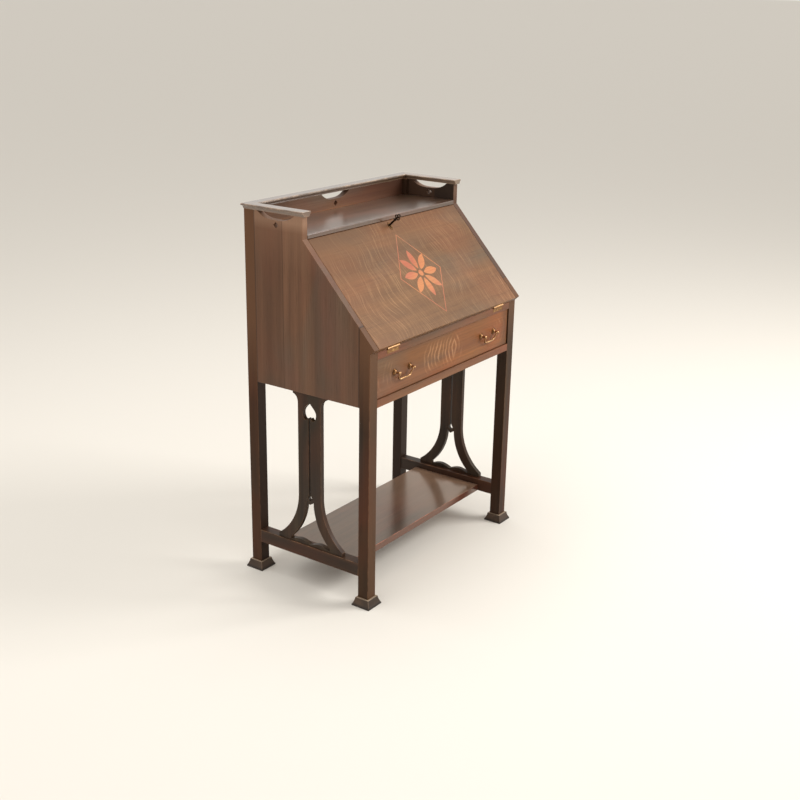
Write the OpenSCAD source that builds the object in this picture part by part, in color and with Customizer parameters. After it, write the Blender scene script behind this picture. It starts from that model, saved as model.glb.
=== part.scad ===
// Fall-front writing desk with a long drawer, a galleried top, pierced side splats and a low shelf.
// Millimetres. X runs to the right of someone facing the desk, the front faces -Y, Z points up.

/* [Case] */
// Width over the legs
width = 690; // [660:1:720]
// Depth over the legs
depth = 396; // [384:1:420]
// Height of the gallery's boards above the top
gallery_rise = 45; // [42:1:60]
// Side of the square legs
leg_size = 32; // [30:1:34]
// Thickness of the side panels, which end flush with the legs outside
panel_thick = 19; // [17:0.5:20]
// Height of the writing surface
bed_z = 683; // [676:1:686]
// Angle of the closed lid above level
slope = 47.3; // [46:0.1:47.6]
// Distance from the legs' front face to the front ends of the gallery
gallery_y = 207; // [200:1:210]
// Thickness of the board under the gallery
top_thick = 11; // [9:1:12]
// Radius of the rounded front arris of that board
top_round = 3; // [1:0.5:4]
// Thickness of the writing bed
bed_thick = 12; // [10:1:14]
// Thickness of the back panel
back_thick = 8; // [6:1:9]

/* [Rails and runners] */
// Height of the rail above the drawer
upper_rail_height = 19; // [17:1:22]
// Depth of the rail above the drawer
upper_rail_depth = 22; // [20:1:24]
// Height of the rail below the drawer
lower_rail_height = 20; // [18:1:24]
// Depth of the rail below the drawer
lower_rail_depth = 50; // [42:1:60]
// Height of the drawer's opening
opening_height = 104; // [100:1:110]
// Height of the rail under the back panel
back_rail_height = 40; // [34:1:46]
// Length of the tenons on rails and stretchers
tenon = 15; // [10:1:18]
// Width of the runners under the drawer's sides
runner_width = 29; // [25:1:34]
// Height of the guides beside the drawer
guide_height = 25; // [15:1:35]
// Clearance of wood in grooves and mortises, each side
joint_gap = 0.1; // [0.1:0.05:0.2]
// Clearance of parts that slide, each side
slide_gap = 0.2; // [0.15:0.05:0.3]

/* [Feet] */
// Height of the feet
foot_height = 23; // [18:1:26]
// How far a foot's base stands out past the leg
foot_flare = 12; // [8:0.5:14]
// How far a foot's top stands out past the leg
foot_ledge = 5; // [2:0.5:6]
// Height of the upright edge at a foot's base
foot_edge = 3; // [2:0.5:6]
// Hollow of a foot's sloping side
foot_hollow = 1.2; // [0:0.2:2]
// Bevel on the upper arris of a foot
foot_bevel = 1; // [0.5:0.25:1.5]
// Diameter of the dowel between foot and leg
foot_dowel = 12; // [8:1:14]

/* [Stretchers and shelf] */
// Height of the stretchers' lower edge
stretcher_z = 82; // [70:1:100]
// Height of the stretchers
stretcher_height = 36; // [32:1:42]
// Thickness of the stretchers
stretcher_thick = 30; // [28:1:32]
// Thickness of the shelf
shelf_thick = 19; // [16:1:22]
// Depth of the shelf
shelf_depth = 228; // [200:2:240]
// How far the shelf and the splats stand forward of the middle of the legs
splat_forward = 5; // [0:1:8]

/* [Splats] */
// Thickness of the splats
splat_thick = 13; // [11:1:14]
// Half-width of a splat's strap
strap_half = 37.5; // [34:0.5:40]
// Half-width of a splat's spread foot
splat_foot_half = 107.5; // [100:0.5:112]
// Radius of the outer sweep of a splat's foot
splat_sweep = 162; // [155:1:170]
// Radius of the inner sweep of a splat's foot
splat_inner_sweep = 165; // [160:1:170]
// Half-width of a splat's head under the panel
splat_head_half = 54; // [48:1:60]
// Height of a splat's spade-shaped opening
spade_height = 49; // [42:1:54]
// Half-width of the spade-shaped opening
spade_half = 22; // [18:0.5:25]
// Width of the slit down a splat
slit_width = 6; // [4:0.5:8]
// Diameter of the round hole that ends the slit
slit_hole = 14; // [10:0.5:16]

/* [Gallery] */
// Thickness of the gallery's back board
gallery_thick = 19; // [16:1:20]
// Thickness of the cap
cap_thick = 13; // [11:1:15]
// Width of the cap
cap_width = 31; // [29:1:34]
// How far the cap stands past the gallery's front ends
cap_reach = 7; // [4:1:10]
// Width of the handle cut-outs under the cap
cutout_width = 120; // [100:2:130]
// Depth of the handle cut-outs
cutout_depth = 18; // [14:1:20]
// Side of the square holes that stand on a corner
diamond_side = 11.3; // [8:0.1:12]
// Middle of those holes below the cap
diamond_drop = 30; // [28:0.5:30]

/* [Drawer] */
// Gap round the drawer's front
drawer_gap = 1.5; // [1:0.25:2.5]
// How far the drawer's front lies behind the legs' front face
drawer_recess = 3.5; // [2:0.5:4]
// Thickness of the drawer's front
drawer_front_thick = 19; // [17:1:21]
// Thickness of the drawer's sides
drawer_side_thick = 10; // [8:1:12]
// Thickness of the drawer's back
drawer_back_thick = 8; // [6:1:10]
// Thickness of the drawer's bottom
drawer_bottom_thick = 5; // [4:0.5:6]
// Space between the drawer's back end and the back panel
drawer_rear_gap = 30; // [26:1:50]
// Number of dovetails at each front corner
tail_count = 4; // [3:1:5]
// Distance from a leg's inner face to the middle of a pull
pull_inset = 109; // [95:1:130]
// Height of the pulls' posts above the drawer opening's lower edge
pull_rise = 53.5; // [48:0.5:58]

/* [Pulls] */
// Distance between a pull's two posts
post_spread = 66; // [56:1:70]
// Diameter of a pull's rosettes
rosette_width = 18; // [15:0.5:20]
// How far the pulls stand out of the drawer's front
pull_reach = 18; // [18:0.5:22]
// Diameter of a post's ball end
ball_width = 7.5; // [6.5:0.5:8]
// Diameter of a post's neck
neck_width = 6; // [5:0.5:6.5]
// Diameter of the bail's wire
bail_wire = 3.6; // [2.5:0.1:4]
// Drop of the bail below its pivots
bail_drop = 20; // [15:0.5:22]
// Radius of the bail's two bends
bail_bend = 10; // [6:0.5:12]

/* [Lid] */
// Thickness of the lid
lid_thick = 18; // [17:0.5:20]
// Gap between the lid's ends and the side panels
lid_gap = 1; // [0.5:0.25:2]
// Gap between the lid and the rail when it lies open
hinge_gap = 1.6; // [1.2:0.1:2]
// Thickness of the inlay
inlay_thick = 0.8; // [0.6:0.1:1.2]
// Half-length of the inlaid lozenge, up the lid
lozenge_half_length = 124; // [110:1:132]
// Half-width of the inlaid lozenge
lozenge_half_width = 92; // [80:1:100]
// Distance from the hinge to the middle of the inlay
inlay_u = 156; // [150:1:160]

/* [Hinges] */
// Distance from a side panel's inner face to the middle of a hinge
hinge_inset = 76; // [60:1:110]
// Length of a hinge
hinge_length = 50; // [44:1:60]
// Diameter of a hinge's knuckles
knuckle = 6; // [5.6:0.2:6.4]
// Diameter of a hinge's pin
hinge_pin = 3; // [2.6:0.1:3.2]
// Thickness of a hinge's leaves
leaf_thick = 1.2; // [1:0.1:1.5]

/* [Lock and key] */
// Distance of the keyhole from the lid's upper edge
keyhole_drop = 14.5; // [13:0.5:18]
// Half-width of the lock
lock_half = 28; // [24:1:34]
// Depth of the lock in the lid
lock_depth = 10; // [9:0.5:11]
// Length of the lock down the lid
lock_length = 34; // [31:1:40]
// Throw of the bolt
bolt_throw = 7; // [5:0.5:7]
// Half-width of the bolt
bolt_half = 12; // [11:0.5:14]
// Diameter of the key's stem
key_stem = 5.5; // [5:0.25:6]
// Distance from the lid's face to the middle of the key's bow
key_reach = 37; // [30:1:44]
// Radius of each lobe of the key's bow
bow_lobe = 4.6; // [4:0.2:5]

/* [Lid stays] */
// Distance of a stay's pivot from the lid's hinge
stay_u = 90; // [89:0.5:91]
// Length of a stay's arm
stay_arm = 179; // [178:0.5:180]
// Angle of the arm below level when the lid is shut
stay_dip = 15; // [14.5:0.25:15.5]
// Turn of the arm against the case while the lid opens
stay_swing = 32.4; // [32:0.1:33]
// Width of a stay's arm
arm_width = 11; // [9:0.5:12]
// Diameter of the stud that runs in the slot
stud = 5; // [4:0.5:5.5]

/* [Pigeonholes] */
// Front of the pigeonholes, from the legs' front face
nest_y = 205; // [200:1:215]
// Space for a stay's arm beside the pigeonholes
nest_side_gap = 28; // [27:1:40]
// Height of the pigeonholes above the writing bed
nest_height = 177; // [150:1:185]
// Thickness of their boards
nest_thick = 8; // [6:0.5:9]
// Height of their shelf above the writing bed
nest_shelf_z = 54; // [46:1:62]
// Half-width of the middle bay
bay_half = 84; // [70:1:100]
// Scoop in the front edges of the uprights
scoop = 22; // [10:1:30]
// Thickness of the small drawer's boards
small_board = 6; // [5:0.5:7]
// Thickness of the small drawer's front
small_front = 10; // [9:0.5:12]
// Space behind the small drawer
small_rear_gap = 13; // [8:1:40]

/* [Hidden] */
$fn = 48;

// The frame's origin is the middle of the whole desk's footprint.
front = (pull_reach - drawer_recess - depth - foot_flare) / 2;
half = width / 2;
leg_in = half - leg_size;
panel_in = half - panel_thick;
panel_mid = half - panel_thick / 2;
leg_back = depth - leg_size;
face_back = drawer_recess + drawer_front_thick;

// Heights of the case
drawer_top = bed_z - upper_rail_height;
drawer_low = drawer_top - opening_height;
rail_low = drawer_low - lower_rail_height;
panel_low = rail_low + 2;
bed_low = bed_z - bed_thick;

// The lid turns about a pin at its inner lower corner. u runs up the slope from the pin, w outward.
pin_y = -hinge_gap / 2;
pin_z = bed_z;
lid_low = hinge_gap / 2;
lid_high = (gallery_y - 1 - pin_y + lid_thick * sin(slope)) / cos(slope);
top_gap = 1;
top_clear = 1.4;
rest_gap = 0.2;
top_z = lid_at(lid_high, lid_thick)[1] + top_clear;
wall_top = top_z + top_thick + gallery_rise;
lid_turn = 180 - slope;

// Joinery
tongue = 8;
panel_tongue = 6;
housing = 4;
rail_tenon_y = [5, 17];
stretcher_tenon = 10;
splat_tenon = 12;
splat_tenon_thick = 8;
splat_y = depth / 2 - splat_forward;
back_y = depth - 14;
back_rail_thick = 19;

// Screws with countersunk heads
screw_head = 5.6;
screw_shank = 2.6;
screw_sink = 1.5;
screw_length = 11;
plate_screw = 21;
strike_screw = 8;

// Point of the side view that lies u up the slope and w out from the lid's inner face.
function lid_at(u, w) = [pin_y + u * cos(slope) - w * sin(slope), pin_z + u * sin(slope) + w * cos(slope)];

// Height of the line at distance w from the lid's inner face, above the point y.
function slope_z(y, w) = pin_z + (y - pin_y + w * sin(slope)) * tan(slope) + w * cos(slope);

module placed() {
    translate([0, front, 0]) children();
}

// Side view drawn with x as Y and y as Z, given thickness along X.
module across(x0, thick) {
    translate([x0, 0, 0]) rotate([90, 0, 90]) linear_extrude(thick) children();
}

// Front view drawn with x as X and y as Z, given thickness along Y.
module facing(y0, thick) {
    translate([0, y0 + thick, 0]) rotate([90, 0, 0]) linear_extrude(thick) children();
}

module block(x, y, z) {
    translate([x[0], y[0], z[0]]) cube([x[1] - x[0], y[1] - y[0], z[1] - z[0]]);
}

module both_sides() {
    children();
    mirror([1, 0, 0]) children();
}

// Children drawn on the lid, with y up the slope and z outward.
module on_lid() {
    translate([0, pin_y, pin_z]) rotate([slope, 0, 0]) children();
}

module screw(long = screw_length) {
    difference() {
        union() {
            translate([0, 0, -screw_sink]) cylinder(h = screw_sink, d1 = screw_shank, d2 = screw_head);
            translate([0, 0, -long]) cylinder(h = long - screw_sink, d = screw_shank);
        }
        translate([-screw_head, -0.4, -0.6]) cube([2 * screw_head, 0.8, 1]);
    }
}

module screw_hole(long = screw_length) {
    translate([0, 0, -screw_sink - 0.05])
        cylinder(h = screw_sink + 0.1, d1 = screw_shank + 0.1, d2 = screw_head + 0.3);
    translate([0, 0, -long - 0.3]) cylinder(h = long, d = screw_shank + 0.1);
}

// Legs, each with a mortise for the stretcher, a groove for the panel and a hole for the foot's dowel

dowel_rise = 22;
stretcher_shoulder = 6;
stretcher_tenon_z = [stretcher_z + stretcher_shoulder, stretcher_z + stretcher_height - stretcher_shoulder];
panel_shoulder = 8;
panel_tongue_top = bed_z + 10;
upper_tenon_z = [drawer_top + 3, bed_z - 4];
lower_tenon_z = [rail_low + 4, drawer_low - 4];
back_tenon_y = [back_y - 1, back_y + 9];
back_rail_top = rail_low + back_rail_height;
back_tenon_z = [panel_low + 6, back_rail_top - tongue - 2];

// A range made wider by the gap at both ends.
function around(range, gap) = [range[0] - gap, range[1] + gap];

// A range of the given width about a middle.
function about(middle, wide) = [middle - wide / 2, middle + wide / 2];

module leg_top_outer() {
    polygon([[0, foot_height], [leg_size, foot_height], [leg_size, slope_z(leg_size, lid_thick)],
        lid_at(lid_low, lid_thick), [0, slope_z(0, 0) - 0.5]]);
}

module leg_top_inner() {
    polygon([[0, foot_height], [leg_size, foot_height], [leg_size, slope_z(leg_size, -0.5)],
        [0, slope_z(0, -0.5)]]);
}

module dowel_hole(y) {
    translate([half - leg_size / 2, y, foot_height - 1])
        cylinder(h = dowel_rise + 3, d = foot_dowel + 2 * joint_gap);
}

module stretcher_mortise(y0, y1) {
    block(around(about(half - stretcher_thick / 2, stretcher_tenon), joint_gap), [y0, y1],
        around(stretcher_tenon_z, joint_gap));
}

module leg_front() {
    difference() {
        union() {
            across(panel_in, panel_thick) leg_top_outer();
            across(leg_in, panel_in - leg_in) leg_top_inner();
        }
        dowel_hole(leg_size / 2);
        stretcher_mortise(leg_size - tenon - joint_gap, leg_size + 1);
        // groove for the side panel's tongue
        block(around(about(panel_mid, panel_tongue), joint_gap), [leg_size - tongue - joint_gap, leg_size + 1],
            around([panel_low + panel_shoulder, panel_tongue_top], joint_gap));
        // mortises for the rails above and below the drawer
        for (z = [upper_tenon_z, lower_tenon_z])
            block([leg_in - 1, leg_in + tenon + joint_gap], around(rail_tenon_y, joint_gap),
                around(z, joint_gap));
    }
}

module leg_back() {
    difference() {
        block([leg_in, half], [leg_back, depth], [foot_height, wall_top]);
        dowel_hole(depth - leg_size / 2);
        stretcher_mortise(leg_back - 1, leg_back + tenon + joint_gap);
        block(around(about(panel_mid, panel_tongue), joint_gap), [leg_back - 1, leg_back + tongue + joint_gap],
            around([panel_low + panel_shoulder, wall_top - panel_shoulder], joint_gap));
        // groove for the back panel and the gallery's back board
        block([leg_in - 1, leg_in + tongue + joint_gap], around([back_y, back_y + back_thick], joint_gap),
            [back_rail_top - tongue, wall_top + 1]);
        block([leg_in - 1, leg_in + tenon + joint_gap], around(back_tenon_y, joint_gap),
            around(back_tenon_z, joint_gap));
    }
}

module leg_front_right() color("#5c4a3a") placed() leg_front();
module leg_front_left() color("#5c4a3a") placed() mirror([1, 0, 0]) leg_front();
module leg_back_right() color("#5c4a3a") placed() leg_back();
module leg_back_left() color("#5c4a3a") placed() mirror([1, 0, 0]) leg_back();

// Feet: square flared pads with a dowel that enters the leg

foot_steps = 8;
foot_base = leg_size / 2 + foot_flare;
foot_top = leg_size / 2 + foot_ledge;
foot_rise = foot_height - foot_bevel - foot_edge;

function foot_side(t) = [foot_base - (foot_base - foot_top) * t - foot_hollow * 4 * t * (1 - t),
    foot_edge + foot_rise * t];

module pad_outline() {
    right = concat([[foot_base, 0]], [for (i = [0:foot_steps]) foot_side(i / foot_steps)],
        [[foot_top - foot_bevel, foot_height]]);
    polygon(concat(right, mirrored(right)));
}

module foot(y) {
    translate([half - leg_size / 2, y, 0]) {
        intersection() {
            across(-foot_base - 1, 2 * foot_base + 2) pad_outline();
            facing(-foot_base - 1, 2 * foot_base + 2) pad_outline();
        }
        translate([0, 0, foot_height - 2]) cylinder(h = dowel_rise + 2, d = foot_dowel);
    }
}

module foot_front_right() color("#54402f") placed() foot(leg_size / 2);
module foot_front_left() color("#54402f") placed() mirror([1, 0, 0]) foot(leg_size / 2);
module foot_back_right() color("#54402f") placed() foot(depth - leg_size / 2);
module foot_back_left() color("#54402f") placed() mirror([1, 0, 0]) foot(depth - leg_size / 2);

// Side panels: one board each from the drawer's height to the gallery's cap

cutout_steps = 24;

// The cut-out's depth falls off with the cube of the distance from its middle.
function cutout_point(t) = [cutout_width / 2 * t, -cutout_depth * (1 - pow(abs(t), 3))];

module cutout_outline() {
    bottom = [for (i = [-cutout_steps:cutout_steps]) cutout_point(i / cutout_steps)];
    polygon(concat([[-cutout_width / 2, 1]], bottom, [[cutout_width / 2, 1]]));
}

module gallery_openings() {
    translate([0, wall_top]) cutout_outline();
    translate([0, wall_top - diamond_drop]) rotate(45) square(diamond_side, center = true);
}

gallery_mid = (gallery_y + depth - gallery_thick) / 2;
top_shoulder_y = gallery_y + 8;
bed_shoulder_y = leg_size + 4;
splat_head_tenon_y = about(splat_y, 2 * (splat_head_half - 9));

module side_panel() {
    difference() {
        union() {
            across(panel_in, panel_thick)
                polygon([[leg_size, panel_low], [leg_back, panel_low], [leg_back, wall_top],
                    [gallery_y, wall_top], [gallery_y, slope_z(gallery_y, lid_thick)],
                    [leg_size, slope_z(leg_size, lid_thick)]]);
            block(about(panel_mid, panel_tongue), [leg_size - tongue, leg_size + 1],
                [panel_low + panel_shoulder, panel_tongue_top]);
            block(about(panel_mid, panel_tongue), [leg_back - 1, leg_back + tongue],
                [panel_low + panel_shoulder, wall_top - panel_shoulder]);
        }
        across(panel_in - 1, panel_thick + 2) translate([gallery_mid, 0]) gallery_openings();
        // housings for the board under the gallery and for the writing bed
        block([panel_in - 1, panel_in + housing + joint_gap], [top_shoulder_y - joint_gap, leg_back + 1],
            around([top_z, top_z + top_thick], joint_gap));
        block([panel_in - 1, panel_in + housing + joint_gap], [bed_shoulder_y - joint_gap, leg_back + 1],
            around([bed_low, bed_z], joint_gap));
        // mortise for the splat's upper tenon
        block(around(about(panel_mid, splat_tenon_thick), joint_gap), around(splat_head_tenon_y, joint_gap),
            [panel_low - 1, panel_low + splat_tenon + joint_gap]);
        stay_plate_screws() screw_hole(plate_screw);
    }
}

module side_panel_right() color("#5c4a3a") placed() side_panel();
module side_panel_left() color("#5c4a3a") placed() mirror([1, 0, 0]) side_panel();

// Splats: pierced boards that stand on the stretchers

sweep_steps = 20;
splat_foot_shoulder = 30;
splat_foot_tenon_y = about(splat_y, 2 * (splat_foot_half - splat_foot_shoulder));
stretcher_top = stretcher_z + stretcher_height;
sweep_rise = 144;
sweep_z = stretcher_top + sweep_rise;
inner_sweep_z = sweep_z - 12;
inner_sweep_low = stretcher_top + 10;
sweep_low = sweep_z - sqrt(pow(splat_sweep, 2) - pow(splat_sweep + strap_half - splat_foot_half, 2));
base_dip = stretcher_top + 3;
base_swell = 9;
head_cove = 24;
head_edge = 6;
spade_tip = panel_low - 21;
spade_wide = spade_tip - spade_height + 18;

// Outer sweep, from the strap down to the spread foot.
function sweep_x(z) = strap_half + splat_sweep - sqrt(pow(splat_sweep, 2) - pow(sweep_z - z, 2));

// Inner sweep of the opening between the feet, which starts 12 from the middle.
function inner_x(z) = 12 + splat_inner_sweep - sqrt(pow(splat_inner_sweep, 2) - pow(inner_sweep_z - z, 2));

function cove_point(t) = [splat_head_half - (splat_head_half - strap_half) * cos(90 * t),
    panel_low - head_edge - head_cove + head_cove * sin(90 * t)];

// The points off the middle line, mirrored and in reverse order.
function mirrored(points) = [for (i = [len(points) - 1:-1:0])
    if (points[i][0] > 0) [-points[i][0], points[i][1]]];

splat_half_outline = concat([[splat_head_half, panel_low]],
    [for (i = [0:10]) cove_point(1 - i / 10)],
    [for (i = [0:sweep_steps]) let (z = sweep_z - (sweep_z - sweep_low) * i / sweep_steps) [sweep_x(z), z]],
    [[splat_foot_half, stretcher_top]]);

// The opening between the feet: a small pendant above, two swells below.
pendant_z = inner_sweep_z - 5;
pendant = [[0, inner_sweep_z - 13], [inner_x(pendant_z), pendant_z]];
base_reach = inner_x(inner_sweep_low);
arch_half = concat(pendant,
    [for (i = [1:sweep_steps])
        let (z = pendant_z - (pendant_z - inner_sweep_low) * i / sweep_steps) [inner_x(z), z]],
    [for (i = [0:12]) let (t = 1 - i / 12) [base_reach * t, base_dip + base_swell * sin(180 * t)]]);

// The spade: convex shoulders that meet in a tip, over two round lobes.
function shoulder_point(t) = [spade_half * pow(sin(90 * t), 1.3), spade_tip - (spade_tip - spade_wide) * t];
function lobe_point(a) = [spade_half * 0.55 + spade_half * 0.45 * cos(a), spade_wide - 18 * sin(a)];
spade_half_outline = concat([for (i = [0:10]) shoulder_point(i / 10)], [for (i = [1:13]) lobe_point(i * 10)],
    [[0, spade_wide - 10]]);

module splat_outline() {
    difference() {
        polygon(concat(splat_half_outline, mirrored(splat_half_outline)));
        polygon(concat(spade_half_outline, mirrored(spade_half_outline)));
        polygon(concat(arch_half, mirrored(arch_half)));
        translate([-slit_width / 2, sweep_z - 6]) square([slit_width, spade_wide - 8 - sweep_z + 6]);
        translate([0, sweep_z - 6]) circle(d = slit_hole);
    }
}

module splat() {
    across(panel_mid - splat_thick / 2, splat_thick) translate([splat_y, 0]) splat_outline();
    block(about(panel_mid, splat_tenon_thick), splat_head_tenon_y, [panel_low - 1, panel_low + splat_tenon]);
    block(about(panel_mid, splat_tenon_thick), splat_foot_tenon_y,
        [stretcher_top - splat_tenon, stretcher_top + 1]);
}

module splat_right() color("#604630") placed() splat();
module splat_left() color("#604630") placed() mirror([1, 0, 0]) splat();

// Stretchers and shelf

stretcher_in = half - stretcher_thick;
stretcher_mid = half - stretcher_thick / 2;
shelf_tongue_y = about(splat_y, shelf_depth - 20);
shelf_tongue_z = about(stretcher_z + shelf_thick / 2, 8);

module stretcher() {
    difference() {
        union() {
            block([stretcher_in, half], [leg_size, leg_back], [stretcher_z, stretcher_top]);
            block(about(stretcher_mid, stretcher_tenon), [leg_size - tenon, leg_back + tenon],
                stretcher_tenon_z);
        }
        block(around(about(panel_mid, splat_tenon_thick), joint_gap), around(splat_foot_tenon_y, joint_gap),
            [stretcher_top - splat_tenon - joint_gap, stretcher_top + 1]);
        block([stretcher_in - 1, stretcher_in + tongue + joint_gap], around(shelf_tongue_y, joint_gap),
            around(shelf_tongue_z, joint_gap));
    }
}

module stretcher_right() color("#5c4a3a") placed() stretcher();
module stretcher_left() color("#5c4a3a") placed() mirror([1, 0, 0]) stretcher();

module shelf() color("#6e5a4e") placed() {
    block([-stretcher_in, stretcher_in], about(splat_y, shelf_depth),
        [stretcher_z, stretcher_z + shelf_thick]);
    block([-stretcher_in - tongue, stretcher_in + tongue], shelf_tongue_y, shelf_tongue_z);
}

// Rails

module upper_rail() color("#705848") placed() difference() {
    union() {
        block([-leg_in, leg_in], [0, upper_rail_depth], [drawer_top, bed_z]);
        block([-leg_in - tenon, leg_in + tenon], rail_tenon_y, upper_tenon_z);
    }
    both_sides() hinge_gain();
    both_sides() rail_leaf_space();
    rail_leaf_screws() screw_hole();
}

module lower_rail() color("#705848") placed() {
    block([-leg_in, leg_in], [0, lower_rail_depth], [rail_low, drawer_low]);
    block([-leg_in - tenon, leg_in + tenon], rail_tenon_y, lower_tenon_z);
}

module back_rail() color("#5c4a3a") placed() difference() {
    union() {
        block([-leg_in, leg_in], [depth - back_rail_thick, depth], [panel_low, back_rail_top]);
        block([-leg_in - tenon, leg_in + tenon], back_tenon_y, back_tenon_z);
    }
    block([-leg_in - 1, leg_in + 1], around([back_y, back_y + back_thick], joint_gap),
        [back_rail_top - tongue, back_rail_top + 1]);
}

// Panels and boards of the case

module back_panel() color("#4d3b2c") placed()
    block([-leg_in - tongue, leg_in + tongue], [back_y, back_y + back_thick], [back_rail_top - tongue, top_z]);

bed_half_outline = [[leg_in, upper_rail_depth], [leg_in, leg_size], [panel_in, leg_size],
    [panel_in, bed_shoulder_y], [panel_in + housing, bed_shoulder_y], [panel_in + housing, leg_back],
    [leg_in, leg_back], [leg_in, back_y]];

module writing_bed() color("#7d6048") placed() linear_extrude_at(bed_low, bed_thick) polygon(concat(
    bed_half_outline, mirrored(bed_half_outline)));

module linear_extrude_at(z, thick) {
    translate([0, 0, z]) linear_extrude(thick) children();
}

top_front = gallery_y - 1;
top_half_outline = [[panel_in, top_front], [panel_in, top_shoulder_y], [panel_in + housing, top_shoulder_y],
    [panel_in + housing, leg_back], [leg_in, leg_back], [leg_in, depth]];

module top_board() color("#a59687") placed() intersection() {
    linear_extrude_at(top_z, top_thick) polygon(concat(top_half_outline, mirrored(top_half_outline)));
    across(-half, width) union() {
        translate([top_front, top_z]) square([depth - top_front + 1, top_thick - top_round]);
        translate([top_front + top_round, top_z]) square([depth - top_front + 1, top_thick]);
        translate([top_front + top_round, top_z + top_thick - top_round]) circle(r = top_round);
    }
}

// The rail behind the lid's upper edge carries the strike plate and a lip that the lid shuts against.
top_rail_depth = 38;
top_rail_back = gallery_y + top_rail_depth;
lip_high = 8;
lip_low = -12;

module top_rail() color("#705848") placed() difference() {
    across(-panel_in, 2 * panel_in) polygon([
        lid_at(lid_high + top_gap, (top_z - pin_z - (lid_high + top_gap) * sin(slope)) / cos(slope)),
        lid_at(lid_high + top_gap, -rest_gap), lid_at(lid_high - lip_high, -rest_gap),
        lid_at(lid_high - lip_high, lip_low), [top_rail_back, lid_at(lid_high - lip_high, lip_low)[1]],
        [top_rail_back, top_z]]);
    on_lid() strike_plate_outline(0.1);
    on_lid() bolt_space(lid_high + top_gap - 1, lid_high + bolt_throw + 0.5);
    strike_screws() screw_hole(strike_screw);
}

module gallery_back() color("#6e4c3c") placed() difference() {
    union() {
        block([-leg_in, leg_in], [depth - gallery_thick, depth], [top_z + top_thick, wall_top]);
        block([-leg_in - tongue, leg_in + tongue], [back_y, back_y + back_thick],
            [top_z + top_thick, wall_top]);
    }
    facing(depth - gallery_thick - 1, gallery_thick + 2) gallery_openings();
}

// Gallery cap: three mitred lengths, flat on top and hollowed down to the boards underneath

cap_out = panel_mid + cap_width / 2;
cap_in = panel_mid - cap_width / 2;
cap_back_out = depth - gallery_thick / 2 + cap_width / 2;
cap_back_in = cap_back_out - cap_width;
cap_front = gallery_y - cap_reach;
cap_foot = 10.5;
cap_edge = 5;

function cap_cove(t) = [cap_foot + (cap_width / 2 - cap_foot) * (1 - cos(90 * t)),
    (cap_thick - cap_edge) * sin(90 * t)];

cap_half = concat([for (i = [0:8]) cap_cove(i / 8)],
    [[cap_width / 2, cap_thick - 1.5], [cap_width / 2 - 1.5, cap_thick]]);

module cap_outline() {
    polygon(concat(cap_half, mirrored(cap_half)));
}

module cap_side() {
    intersection() {
        translate([panel_mid, cap_back_out + 1, wall_top]) rotate([90, 0, 0])
            linear_extrude(cap_back_out - cap_front + 1) cap_outline();
        linear_extrude_at(wall_top - 1, cap_thick + 2)
            polygon([[cap_out + 1, cap_front], [cap_in - 1, cap_front], [cap_in - 1, cap_back_in - 1],
                [cap_out + 1, cap_back_out + 1]]);
    }
}

module cap_right() color("#8a6e58") placed() cap_side();
module cap_left() color("#8a6e58") placed() mirror([1, 0, 0]) cap_side();

module cap_back() color("#8a6e58") placed() intersection() {
    translate([-cap_out - 1, depth - gallery_thick / 2, wall_top]) rotate([90, 0, 90])
        linear_extrude(2 * cap_out + 2) cap_outline();
    linear_extrude_at(wall_top - 1, cap_thick + 2)
        polygon([[-cap_in + 1, cap_back_in - 1], [cap_in - 1, cap_back_in - 1],
            [cap_out + 1, cap_back_out + 1], [-cap_out - 1, cap_back_out + 1]]);
}

// Runners, kickers and stops of the drawer

guide_in = leg_in - drawer_gap;
guide_gap = 1;
runner_end = back_y - 5;
runner_in = panel_in - runner_width;

module drawer_runner() {
    linear_extrude_at(panel_low, drawer_low - panel_low) polygon([[leg_in, leg_size], [panel_in, leg_size],
        [panel_in, leg_back], [leg_in, leg_back], [leg_in, runner_end], [runner_in, runner_end],
        [runner_in, lower_rail_depth], [leg_in, lower_rail_depth]]);
    block([guide_in, panel_in], [leg_size, leg_back], [drawer_low, drawer_low + guide_height]);
}

module drawer_runners() color("#8a7358") placed() both_sides() drawer_runner();

module kickers() color("#8a7358") placed() both_sides()
    block([runner_in, panel_in], [leg_size, leg_back], [drawer_top - 0.5, bed_low]);

stop_x = 150;
stop_width = 30;
stop_depth = 13;
stop_height = 7;

module drawer_stops() color("#8a7358") placed() both_sides()
    block(about(stop_x, stop_width), [face_back + slide_gap, face_back + stop_depth],
        [drawer_low, drawer_low + stop_height]);

// Pigeonholes on the writing bed

nest_back = back_y - 2;
nest_half = panel_in - nest_side_gap;
nest_top_z = bed_z + nest_height;
small_gap = 0.6;
divider_x = (nest_half + bay_half) / 2;

module upright(x, z0, z1, cut) {
    steps = 16;
    edge = [for (i = [0:steps]) [nest_y + cut * sin(180 * i / steps), z0 + (z1 - z0) * i / steps]];
    across(x, nest_thick) polygon(concat(edge, [[nest_back, z1], [nest_back, z0]]));
}

module nest_uprights() color("#80664c") placed() both_sides() {
    upright(nest_half - nest_thick, bed_z, nest_top_z - nest_thick, 0);
    upright(bay_half, bed_z, bed_z + nest_shelf_z, 0);
    upright(bay_half, bed_z + nest_shelf_z + nest_thick, nest_top_z - nest_thick, scoop);
    upright(divider_x, bed_z + nest_shelf_z + nest_thick, nest_top_z - nest_thick, scoop);
}

module nest_shelf() color("#80664c") placed()
    block([-nest_half + nest_thick, nest_half - nest_thick], [nest_y, nest_back],
        [bed_z + nest_shelf_z, bed_z + nest_shelf_z + nest_thick]);

module nest_top() color("#80664c") placed()
    block([-nest_half, nest_half], [nest_y - 2, nest_back], [nest_top_z - nest_thick, nest_top_z]);

// Small drawer of the middle bay

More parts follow.
